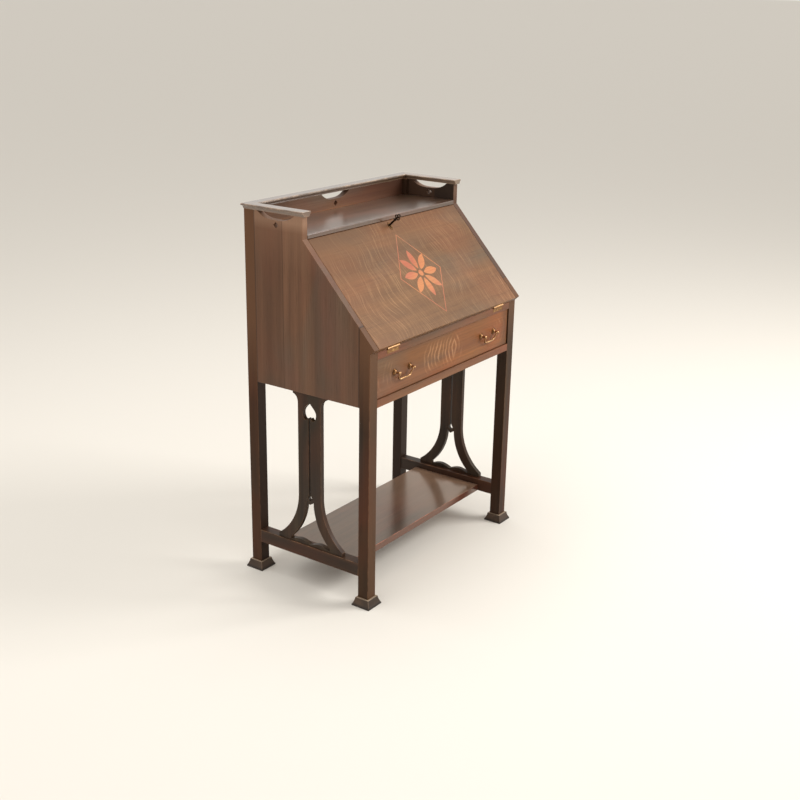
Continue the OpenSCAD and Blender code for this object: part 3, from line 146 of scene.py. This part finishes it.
# Stained oak under an old thin finish: fine pores along the grain, slow bands, red and grey
# patches, pale ray flecks across the grain, and arrises where the finish has worn thin.
def oak(name, dark, light, red, grain, seed, fleck="none", wear=0.6, gloss=0.44, patch=0.5,
        coat=0.05, sheen=0.25, rubbed=(172, 128, 96), joint=None, zones=(), glow=(1, 1, 1)):
    paint = bpy.data.materials.new(name)
    paint.use_nodes = True
    tree = paint.node_tree
    shader = tree.nodes["Principled BSDF"]

    def noise(source, scale, detail, rough, warp=0.0, output="Fac"):
        shift = (seed, seed * 0.7, seed * 1.3)
        stretched = add(tree, "ShaderNodeMapping",
                        [("Vector", source), ("Scale", scale), ("Location", shift)]).outputs[0]
        return add(tree, "ShaderNodeTexNoise",
                   [("Vector", stretched), ("Scale", 1.0), ("Detail", detail),
                    ("Roughness", rough), ("Distortion", warp)]).outputs[output]

    coordinates = add(tree, "ShaderNodeTexCoord")
    place, facing = coordinates.outputs["Object"], coordinates.outputs["Normal"]
    lid_slope = math.radians(47.3)
    turns = {"X": (0, 0, 0), "Y": (0, 0, -math.pi / 2), "Z": (0, math.pi / 2, 0),
             "lid": (-lid_slope, 0, 0)}
    along = add(tree, "ShaderNodeMapping",
                [("Vector", place), ("Rotation", turns[grain])]).outputs[0]

    # The stain runs from dark to light in bands, over it lie red and grey patches and dark lines.
    pores = noise(along, (16, 520, 520), 2.0, 0.7)
    lines = noise(along, (2.2, 210, 210), 3.0, 0.6, 0.3)
    bands = noise(along, (0.9, 24, 24), 2.0, 0.5, 0.5)
    patches = noise(along, (3.4, 6.5, 6.5), 1.5, 0.5, 0.7)
    greys = noise(along, (2.6, 9, 9), 2.0, 0.5, 0.4, output="Color")
    grey = add(tree, "ShaderNodeSeparateColor", [(0, greys)]).outputs[1]
    middle = sum(light) / 3
    faded = tone(middle * 0.98, middle * 0.93, middle * 0.80)
    color = blend(tree, ramp(tree, bands, 0.32, 0.68), tone(*dark), tone(*light))
    color = blend(tree, times(tree, ramp(tree, patches, 0.44, 0.66), patch), color, tone(*red))
    color = blend(tree, times(tree, ramp(tree, grey, 0.5, 0.7), 0.45), color, faded)
    color = blend(tree, times(tree, ramp(tree, lines, 0.42, 0.64), 0.3), color, tone(*dark))

    if fleck in ("lid", "soft"):
        # Thin curved flecks that follow the slope of the board, thick in some regions, none in
        # others. They are strong on the lid and soft on plainer boards.
        drift = noise(along, (7, 7, 7), 1.0, 0.5, output="Color")
        bent = add(tree, "ShaderNodeVectorMath", [(0, drift), (1, (0.085, 0.0, 0.0))],
                   operation="MULTIPLY").outputs[0]
        path = add(tree, "ShaderNodeVectorMath", [(0, along), (1, bent)],
                   operation="ADD").outputs[0]
        strokes = noise(path, (560, 14, 14), 1.5, 0.5)
        region = noise(along, (4.5, 5, 5), 1.0, 0.5)
        flecks = times(tree, ramp(tree, strokes, 0.54, 0.68),
                       ramp(tree, region, 0.36, 0.62, 0.25, 1.0))
        pale = tone(188, 146, 104) if fleck == "lid" else tone(132, 98, 70)
        color = blend(tree, times(tree, flecks, 0.4), color, pale)
    if fleck == "arcs":
        # Nested pale arcs, each a shallow bow across the height of the drawer's front. They are
        # strong near its middle, faint at its ends, and left out in between.
        arcs_height, bow_middle, strong_middle = 0.612, 0.035, -0.02
        x, _, z = split(tree, along)
        rise = reckon(tree, "ADD", z, -arcs_height)
        side = reckon(tree, "ABSOLUTE", reckon(tree, "ADD", x, -bow_middle))
        bow = reckon(tree, "MULTIPLY_ADD", times(tree, rise, rise), 11.0, side)
        line = add(tree, "ShaderNodeCombineXYZ", [(0, bow), (2, rise)]).outputs[0]
        wave = add(tree, "ShaderNodeTexWave",
                   [("Vector", line), ("Scale", 19.0), ("Distortion", 4.2), ("Detail", 1.8),
                    ("Detail Scale", 1.4)], bands_direction="X").outputs["Fac"]
        away = reckon(tree, "ABSOLUTE", reckon(tree, "ADD", x, -strong_middle))
        end_arcs = times(tree, ramp(tree, reckon(tree, "ABSOLUTE", x), 0.235, 0.26), 0.45)
        room = reckon(tree, "MAXIMUM", ramp(tree, away, 0.10, 0.07), end_arcs)
        height_fade = ramp(tree, reckon(tree, "ABSOLUTE", rise), 0.043, 0.022)
        broken = ramp(tree, noise(along, (26, 26, 26), 1.0, 0.5), 0.34, 0.56)
        flecks = times(tree, ramp(tree, wave, 0.55, 1.0), room)
        flecks = times(tree, times(tree, flecks, height_fade), broken)
        color = blend(tree, times(tree, flecks, 0.38), color, tone(206, 156, 112))
    pore_color = tuple(v * 0.35 for v in tone(*dark)[:3]) + (1,)
    color = blend(tree, times(tree, ramp(tree, pores, 0.57, 0.72), 0.4), color, pore_color)

    worn = add(tree, "ShaderNodeAttribute", attribute_name="worn").outputs["Fac"]
    thin = ramp(tree, noise(along, (45, 45, 45), 2.0, 0.6), 0.40, 0.66, 0.1, 1.0)
    color = blend(tree, times(tree, times(tree, worn, thin), wear), color, tone(*rubbed))
    for axis, start, end, amount, shade in zones:
        # A stretch along x, y or z, or the sides that face along nx, ny or nz, made paler or darker
        # than the rest. Most are painted light or shade; each is described where it is given.
        source = facing if axis.startswith("n") else place
        reach = split(tree, source)["xyz".index(axis[-1])]
        color = blend(tree, times(tree, ramp(tree, reach, start, end), amount), color, tone(*shade))
    if joint is not None:
        # Two boards glued edge to edge: the back one is darker, and a fine line parts them.
        depth = split(tree, place)[1]
        back_board = ramp(tree, depth, joint - 0.0004, joint + 0.0004)
        color = blend(tree, times(tree, back_board, 0.3), color, tone(*dark))
        gap = reckon(tree, "ABSOLUTE", reckon(tree, "ADD", depth, -joint))
        glue_line = times(tree, ramp(tree, gap, 0.0011, 0.0004), 0.5)
        color = blend(tree, glue_line, color, tone(30, 18, 10))
    tree.links.new(color, shader.inputs["Base Color"])

    dull = ramp(tree, bands, 0.2, 0.8, gloss - 0.05, gloss + 0.09)
    tree.links.new(dull, shader.inputs["Roughness"])
    dent = add(tree, "ShaderNodeBump", [("Strength", 0.2), ("Distance", 0.0005), ("Height", pores)])
    tree.links.new(dent.outputs["Normal"], shader.inputs["Normal"])
    shader.inputs["Coat Weight"].default_value = coat
    shader.inputs["Coat Roughness"].default_value = 0.3
    shader.inputs["Specular IOR Level"].default_value = sheen
    shader.inputs["Specular Tint"].default_value = (*glow, 1)
    return paint


# A piece is taken up to be worked on: its CAD node again, as an object of its own.
def take(node, name):
    bpy.ops.object.select_all(action="DESELECT")
    piece = nodes[node].copy()
    piece.data = nodes[node].data.copy()
    piece.name = name
    piece.parent = None
    piece.matrix_world = Matrix.Identity(4)
    bpy.context.collection.objects.link(piece)
    piece.select_set(True)
    bpy.context.view_layer.objects.active = piece
    return piece


def saw(cuts):
    for spot, way in cuts:
        bpy.ops.mesh.select_all(action="SELECT")
        bpy.ops.mesh.bisect(plane_co=spot, plane_no=way)


# A board's open arrises are rubbed round, as years of dusting do. An arris is left sharp where
# another piece covers it or lies flush against it, which short rays find out, or where it lies
# outside the heights given. Saw cuts across a board keep its pierced faces simple.
arris_angle = math.radians(38)
off_arris, off_face, past_arris, flush = 0.00015, 0.0003, 0.0004, 0.0008


def rub(node, body, width, paint, cuts=(), heights=None, near=0.003):
    board = take(node, node + "_board")
    mesh = board.data
    bpy.ops.object.mode_set(mode="EDIT")
    bpy.ops.mesh.select_mode(type="EDGE")
    bpy.ops.mesh.select_all(action="SELECT")
    bpy.ops.mesh.remove_doubles(threshold=same_point)
    bpy.ops.mesh.dissolve_limited(angle_limit=math.radians(1))
    saw(cuts)
    bpy.ops.mesh.select_all(action="DESELECT")
    bpy.ops.mesh.edges_select_sharp(sharpness=arris_angle)
    bpy.ops.object.mode_set(mode="OBJECT")
    sides = {}
    for face in mesh.polygons:
        for key in face.edge_keys:
            sides.setdefault(key, []).append(face)
    board.hide_set(True)
    nodes[node].hide_set(True)
    view = bpy.context.view_layer.depsgraph
    for edge in mesh.edges:
        pair = sides.get(edge.key, [])
        if not edge.select or len(pair) != 2:
            edge.select = False
            continue
        start, end = (mesh.vertices[i].co for i in edge.vertices)
        order = list(pair[0].vertices)
        if order[order.index(edge.vertices[0]) - 1] == edge.vertices[1]:
            start, end = end, start
        middle = (start + end) / 2
        one, two = pair[0].normal, pair[1].normal
        out = (one + two).normalized()
        rays = ((middle + out * off_arris, out, near),
                (middle + one * off_face + two * past_arris, -one, flush),
                (middle + two * off_face + one * past_arris, -two, flush))
        if heights:
            covered = not heights[0] < middle.z < heights[1]
        else:
            covered = any(bpy.context.scene.ray_cast(view, spot, way, distance=far)[0]
                          for spot, way, far in rays)
        convex = two.dot(one.cross(end - start)) < 0
        edge.select = convex and not covered
    board.hide_set(False)
    bpy.context.view_layer.objects.active = board
    board.select_set(True)
    # The faces of the bevel come in a second material, which then gives way to the wear.
    board.data.materials.clear()
    board.data.materials.append(paint)
    board.data.materials.append(paint)
    bpy.ops.object.mode_set(mode="EDIT")
    bpy.ops.mesh.bevel(offset=width, segments=2, affect="EDGES", clamp_overlap=False, material=1)
    bpy.ops.object.mode_set(mode="OBJECT")
    worn = mesh.attributes.new("worn", "FLOAT", "FACE")
    for face in mesh.polygons:
        worn.data[face.index].value = float(face.material_index)
        face.material_index = 0
    board.data.materials.pop(index=1)
    bpy.ops.object.shade_smooth_by_angle(angle=math.radians(30))
    bpy.ops.object.modifier_add(type="WEIGHTED_NORMAL")
    board.modifiers[-1].keep_sharp = True
    bpy.ops.object.modifier_apply(modifier=board.modifiers[-1].name)
    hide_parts(node)
    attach(board, body)


leg_stain = (40, 24, 12), (74, 49, 27), (84, 40, 20)
leg_top_painted_light, leg_front_painted_light = (100, 68, 46), (98, 68, 44)
leg_side_painted_shade, leg_inside_painted_shade = (24, 15, 9), (40, 26, 17)
foot_stain = (44, 30, 20), (78, 58, 42), (82, 50, 33)
foot_upward_pale, foot_painted_floor_shade, foot_arris = (168, 148, 126), (24, 16, 10), (176, 150, 124)
for corner, seed in (("front_left", 11), ("front_right", 13),
                     ("back_left", 17), ("back_right", 19)):
    painted_light_from = 0.56 if corner == "front_right" else 0.48
    # Painted light makes each leg's upper part paler, and the front-left leg's front face too.
    zones = [("z", painted_light_from, 0.7, 0.85, leg_top_painted_light)]
    if corner == "front_left":
        zones.append(("ny", -0.6, -0.9, 0.4, leg_front_painted_light))
    if corner == "front_right":
        # Painted shade darkens the front-right leg's left side.
        zones.append(("nx", -0.6, -0.9, 0.5, leg_side_painted_shade))
    if corner.startswith("back"):
        # The faces that look into the case and the gallery are darkened with painted shade.
        inward = 1 if corner == "back_left" else -1
        zones += [("nx", 0.6 * inward, 0.9 * inward, 0.85, leg_inside_painted_shade),
                  ("ny", -0.6, -0.9, 0.85, leg_inside_painted_shade)]
    rub("leg_" + corner, "case", 0.0009,
        oak("oak_leg_" + corner, *leg_stain, "Z", seed, wear=0.3, sheen=0.15, zones=zones))
    # A foot's upward faces are paler, and painted shade darkens its lowest band, beside the floor.
    rub("foot_" + corner, "case", 0.0007,
        oak("oak_foot_" + corner, *foot_stain, "X", seed + 1, wear=0.6, sheen=0.4,
            rubbed=foot_arris, zones=[("nz", 0.6, 0.95, 0.7, foot_upward_pale),
                                      ("z", 0.009, 0.004, 0.7, foot_painted_floor_shade)]))

# Each side is a wide panel of upright oak, two boards glued edge to edge, held in grooves of the
# legs. Under it stands a sawn splat, tenoned into the panel above and the stretcher below, and the
# stretchers are tenoned into the legs. Dust and old wax darken the panel's seams beside the legs.
panel_stain = (84, 56, 38), (112, 78, 56), (120, 68, 49)
panel_top_painted_light, panel_top_painted_reflection = (138, 102, 78), (164, 130, 106)
panel_seam, panel_inside_painted_shade, panel_edge_painted_shade = (30, 19, 12), (30, 20, 13), (62, 42, 29)
panel_joint = 0.075
splat_stain = (36, 26, 17), (62, 48, 34), (82, 47, 30)
splat_middle, splat_open = -0.00375, (0.135, 0.53)
stretcher_stain = (38, 23, 13), (66, 44, 26), (84, 40, 20)
for side, seed in (("left", 3), ("right", 7)):
    inward = 1 if side == "left" else -1
    ahead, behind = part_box("leg_front_" + side)[1][1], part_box("leg_back_" + side)[0][1]
    # Painted light makes the panel's upper part paler, with a painted reflection in a band just
    # below the cap, and painted shade darkens its inward face.
    zones = [("z", 0.85, 0.95, 0.35, panel_top_painted_light), ("z", 0.948, 0.972, 0.5, panel_top_painted_reflection),
             ("y", ahead + 0.004, ahead + 0.001, 0.65, panel_seam),
             ("y", behind - 0.004, behind - 0.001, 0.65, panel_seam),
             ("nx", 0.6 * inward, 0.9 * inward, 0.95, panel_inside_painted_shade)]
    # On the right side painted shade also darkens the edges that face the front.
    if side == "right":
        zones.append(("ny", -0.4, -0.6, 0.7, panel_edge_painted_shade))
    rub("side_panel_" + side, "case", 0.0009,
        oak("oak_panel_" + side, *panel_stain, "Z", seed, wear=0.3, joint=panel_joint, zones=zones))
    rub("splat_" + side, "case", 0.0007,
        oak("oak_splat_" + side, *splat_stain, "Z", seed + 20, wear=0.3, sheen=0.2),
        cuts=[((0, splat_middle, 0), (0, 1, 0))], heights=splat_open)
    rub("stretcher_" + side, "case", 0.001,
        oak("oak_stretcher_" + side, *stretcher_stain, "Y", seed + 30, wear=0.5))

# The low shelf is one oak board, tongued into the two side stretchers. Its top is waxed to a shine,
# and a painted reflection pales it toward the right. Its front arris is rubbed down to the red
# wood.
shelf_wood = oak("oak_shelf", (58, 40, 28), (84, 62, 46), (108, 62, 44), "X", 37, gloss=0.14,
                 coat=0.35, sheen=1.0, wear=1.0, rubbed=(196, 106, 78), glow=(1.0, 0.8, 0.6),
                 zones=[("x", 0.0, 0.3, 0.7, (150, 120, 98)),
                        ("ny", -0.6, -0.9, 0.9, (84, 38, 25))])
rub("shelf", "case", 0.0012, shelf_wood)


# The rails above and below the drawer are oak with level grain, tenoned into the front legs. The
# back is a thin panel in grooves above a rail, the writing bed is housed in the sides, and the
# rail behind the lid's upper edge takes the lock's bolt.
def dress(paint, *names):
    for node in names:
        target = nodes[node]
        target.data.materials.clear()
        target.data.materials.append(paint)


rail_wood = oak("oak_rail", (80, 50, 30), (124, 84, 56), (132, 70, 46), "X", 41, wear=0.3)
rub("upper_rail", "case", 0.0008, rail_wood)
rub("lower_rail", "case", 0.0008, rail_wood)
dress(rail_wood, "top_rail")
back_wood = oak("oak_back", (44, 32, 24), (84, 64, 48), (84, 50, 36), "X", 43, gloss=0.5)
dress(back_wood, "back_panel", "back_rail")
bed_wood = oak("oak_bed", (84, 58, 42), (132, 98, 76), (128, 80, 58), "X", 47, "soft")
dress(bed_wood, "writing_bed")

# The board on top is housed in the sides. Round it stands a low gallery of the same oak, with a
# cap of three mitred lengths set down on its walls. The cap's arrises are rubbed, and their pale
# cream colour is partly wear and partly a painted highlight.
# Toward the right the top board is darkened as a painted reflection of the dark gallery walls.
top_wood = oak("oak_top", (62, 42, 28), (104, 76, 56), (108, 64, 44), "X", 53, "soft", gloss=0.16,
               coat=1.0, sheen=0.8, wear=0.4, zones=[("x", 0.05, 0.3, 0.6, (56, 38, 26))])
rub("top_board", "case", 0.0006, top_wood)
# Toward the right the gallery back is darkened with painted shade.
gallery_wood = oak("oak_gallery", (74, 46, 29), (132, 91, 63), (124, 68, 47), "X", 59, wear=0.4,
                   patch=0.4, zones=[("x", -0.05, 0.3, 0.85, (50, 29, 19))])
rub("gallery_back", "case", 0.0006, gallery_wood)
cap_side_stain = (78, 58, 44), (130, 104, 82), (118, 78, 58)
cap_back_stain = (66, 47, 34), (114, 88, 66), (110, 70, 50)
for length, stain, grain, seed in (("left", cap_side_stain, "Y", 61),
                                   ("right", cap_side_stain, "Y", 67),
                                   ("back", cap_back_stain, "X", 71)):
    rub("cap_" + length, "case", 0.0006,
        oak("oak_cap_" + length, *stain, grain, seed, wear=0.8, gloss=0.24, coat=1.0, sheen=0.8,
            rubbed=(202, 172, 144)))

# The sloping lid is cut from the best figured board, with broad pale flecks over a browner stain.
# A figure of lighter wood is let into its face, flush and glued.
lid_wood = oak("oak_lid", (94, 63, 38), (117, 82, 52), (130, 76, 47), "lid", 73, "lid", wear=0.5,
               gloss=0.42, patch=0.4, sheen=0.3, glow=(1, 0.86, 0.7),
               zones=[("z", 0.76, 0.92, 0.25, (84, 56, 32)),
                      ("x", -0.12, -0.32, 0.2, (112, 70, 42))])
inlay_cuts = [((x, 0, 0), (1, 0, 0)) for x in (-0.05, -0.03, -0.01, 0.01, 0.03, 0.05)]
rub("lid_panel", "lid", 0.0009, lid_wood, cuts=inlay_cuts)
inlay_wood = oak("inlay_wood", (164, 90, 64), (182, 110, 78), (190, 124, 72), "lid", 83,
                 gloss=0.36, patch=0.9)
dress(inlay_wood, "lid_inlay")

# The long drawer's front is figured oak too, dovetailed half-blind to the drawer's sides. Pale
# arcs bow across it, and its arrises are rubbed. The pulls' four holes lie at one height.
pull_height = 0.6135
# The front's right end is darkened with painted shade beside the leg.
drawer_wood = oak("oak_drawer", (95, 57, 28), (139, 90, 47), (150, 78, 42), "X", 79, "arcs",
                  wear=0.4, zones=[("x", 0.27, 0.295, 0.6, (84, 54, 32))])
rub("drawer_front", "drawer", 0.0009, drawer_wood, cuts=[((0, 0, pull_height), (0, 0, 1))],
    near=0.02)

# Inside the desk the pigeonholes are thin boards of a paler oak with a thin finish. The drawers'
# sides, backs and bottoms, and what they run on, are plain wood that was never stained.
inside_stain = (116, 90, 64), (160, 130, 98), (148, 104, 74)
plain_wood = (150, 122, 88), (190, 160, 120), (170, 130, 92)
dress(oak("oak_inside", *inside_stain, "X", 89, "soft"),
      "nest_top", "nest_shelf", "small_drawer_front")
dress(oak("oak_inside_upright", *inside_stain, "Z", 97, "soft"), "nest_uprights")
dress(oak("drawer_wood", *plain_wood, "Y", 101, gloss=0.55, patch=0.3),
      "drawer_sides", "drawer_runners", "kickers", "drawer_stops", "small_drawer_walls")
dress(oak("drawer_wood_back", *plain_wood, "X", 103, gloss=0.55, patch=0.3),
      "drawer_back", "drawer_bottom", "small_drawer_bottom")


# Two brass butt hinges: leaves let in flush and screwed to the lid and the rail, with knuckles
# that turn on a pin. The strike plate and the lock's case are of the same brass, which has a brown
# film in patches over warm metal.
def brass(name, bright, film, cover, rough, grain=160, behind=None):
    paint = bpy.data.materials.new(name)
    paint.use_nodes = True
    tree = paint.node_tree
    shader = tree.nodes["Principled BSDF"]
    coordinates = add(tree, "ShaderNodeTexCoord").outputs
    field = add(tree, "ShaderNodeTexNoise",
                [("Vector", coordinates["Object"]), ("Scale", grain), ("Detail", 4)]).outputs["Fac"]
    amount = ramp(tree, field, 0.34 - cover * 0.2, 0.86 - cover * 0.2)
    if behind:
        # Toward the wood behind it the film closes, partly patina and partly painted shade, and
        # painted shade darkens the underside.
        film_and_painted_shade = ramp(tree, split(tree, coordinates["Object"])[1], *behind)
        under = ramp(tree, split(tree, coordinates["Normal"])[2], 0.1, -0.5)
        amount = reckon(tree, "MAXIMUM", reckon(tree, "MAXIMUM", amount, film_and_painted_shade), under)
    tree.links.new(blend(tree, amount, tone(*bright), tone(*film)), shader.inputs["Base Color"])
    tree.links.new(ramp(tree, field, 0.0, 1.0, rough, rough + 0.22), shader.inputs["Roughness"])
    dent = add(tree, "ShaderNodeBump", [("Strength", 0.1), ("Distance", 0.0003), ("Height", field)])
    tree.links.new(dent.outputs["Normal"], shader.inputs["Normal"])
    shader.inputs["Metallic"].default_value = 1.0
    return paint


hinge_metal = brass("brass_hinge", (214, 176, 118), (140, 102, 62), cover=0.3, rough=0.26, grain=60)
dress(hinge_metal, "hinge_pins", "strike_plate", "lock_case")

# The hinges' leaves are duller; the crests of the knuckles stand proud of the wood and carry a
# painted highlight. A crest is what lies near the skin of the knuckle and above the hinge's axis.
hinge_axis = (0, -0.19755, 0.683)
knuckle_in, knuckle_out = 0.0046, 0.0052
highlight_band_low, highlight_band_high = 0.0008, 0.0022
leaf_metal = brass("brass_leaf", (172, 130, 86), (122, 86, 56), cover=0.6, rough=0.42)
tree = leaf_metal.node_tree
shader = tree.nodes["Principled BSDF"]
dull_brass = shader.inputs["Base Color"].links[0].from_socket
place = add(tree, "ShaderNodeTexCoord").outputs["Object"]
from_axis = add(tree, "ShaderNodeVectorMath", [(0, place), (1, hinge_axis)],
                operation="SUBTRACT").outputs[0]
across = add(tree, "ShaderNodeVectorMath", [(0, from_axis), (1, (0, 1, 1))],
             operation="MULTIPLY").outputs[0]
radius = add(tree, "ShaderNodeVectorMath", [(0, across)], operation="LENGTH").outputs["Value"]
knuckle = ramp(tree, radius, knuckle_out, knuckle_in)
highlight_band = ramp(tree, split(tree, from_axis)[2], highlight_band_low, highlight_band_high)
painted_knuckle_highlight = blend(tree, times(tree, knuckle, highlight_band), dull_brass, tone(250, 214, 168))
tree.links.new(painted_knuckle_highlight, shader.inputs["Base Color"])
dress(leaf_metal, "hinge_rail_leaves", "hinge_lid_leaves")

# The keyhole's escutcheon is a darkened brass plate on the lid. The slotted stays with their arms
# and brackets, the small drawer's turned knob and the countersunk screws are brighter brass.
dress(brass("brass_escutcheon", (128, 94, 58), (62, 42, 26), cover=0.8, rough=0.35), "escutcheon")
dress(brass("brass_stay", (210, 172, 110), (120, 84, 48), cover=0.4, rough=0.25),
      "stay_plates", "stay_brackets", "stay_arm_left", "stay_arm_right", "small_drawer_knob")
dress(brass("brass_screw", (206, 170, 112), (110, 80, 48), cover=0.5, rough=0.3),
      "case_screws", "lid_screws")

# Each pull is cast brass: two stepped rosettes with posts through the drawer's front, and a bail
# that swings between their ball ends. The bail is fuller in the middle of its grip, swelled there
# in four steps, and its lower run leans back toward the drawer.
# Toward the drawer's face the pulls darken, partly patina and partly painted shade.
film_and_shade_starts, film_and_shade_closes = -0.2015, -0.1965
pull_metal = brass("brass_pull", (228, 180, 130), (106, 72, 44), cover=0.3, rough=0.2, grain=45,
                   behind=(film_and_shade_starts, film_and_shade_closes))
dress(pull_metal, "pull_posts")
pull_middle = 0.204
grip_step, bend_step, bend_starts = 0.004, 0.002, 0.0125
swell, grip_height = 0.0003, 0.014
lean, lean_reach, lowest_run = 0.006, 0.017, 0.004
for side, middle in (("left", -pull_middle), ("right", pull_middle)):
    bail = take("bail_" + side, "bail_" + side + "_cast")
    low = min(vertex.co.z for vertex in bail.data.vertices)
    bpy.ops.object.mode_set(mode="EDIT")
    bpy.ops.mesh.select_mode(type="VERT")
    bpy.ops.mesh.select_all(action="SELECT")
    bpy.ops.mesh.remove_doubles(threshold=same_point)
    saw([((middle + step * grip_step, 0, 0), (1, 0, 0)) for step in range(-5, 6)])
    saw([((0, 0, low + bend_starts + step * bend_step), (0, 0, 1)) for step in range(4)])
    for half_grip in (0.030, 0.026, 0.018, 0.009):
        bpy.ops.mesh.select_all(action="DESELECT")
        bpy.ops.object.mode_set(mode="OBJECT")
        for vertex in bail.data.vertices:
            in_grip = abs(vertex.co.x - middle) < half_grip
            vertex.select = in_grip and vertex.co.z < low + grip_height
        bpy.ops.object.mode_set(mode="EDIT")
        bpy.ops.transform.shrink_fatten(value=swell)
    bpy.ops.mesh.select_all(action="DESELECT")
    bpy.ops.object.mode_set(mode="OBJECT")
    for vertex in bail.data.vertices:
        vertex.select = vertex.co.z < low + lowest_run
    bpy.ops.object.mode_set(mode="EDIT")
    bpy.ops.transform.translate(value=(0, lean, 0), use_proportional_edit=True,
                                proportional_edit_falloff="SMOOTH", proportional_size=lean_reach)
    bpy.ops.object.mode_set(mode="OBJECT")
    bpy.ops.object.shade_smooth_by_angle(angle=math.radians(50))
    bail.data.materials.clear()
    bail.data.materials.append(pull_metal)
    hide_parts("bail_" + side)
    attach(bail, "bail_" + side)

# The lock's bolt is worn steel that slides in the brass case. The key is dark steel with a pierced
# bow, and its bit throws the bolt up behind the strike plate.
dress(brass("steel_bolt", (168, 160, 150), (96, 84, 72), cover=0.5, rough=0.35), "lock_bolt")
dress(brass("steel_key", (84, 68, 54), (34, 26, 20), cover=0.8, rough=0.3), "key")
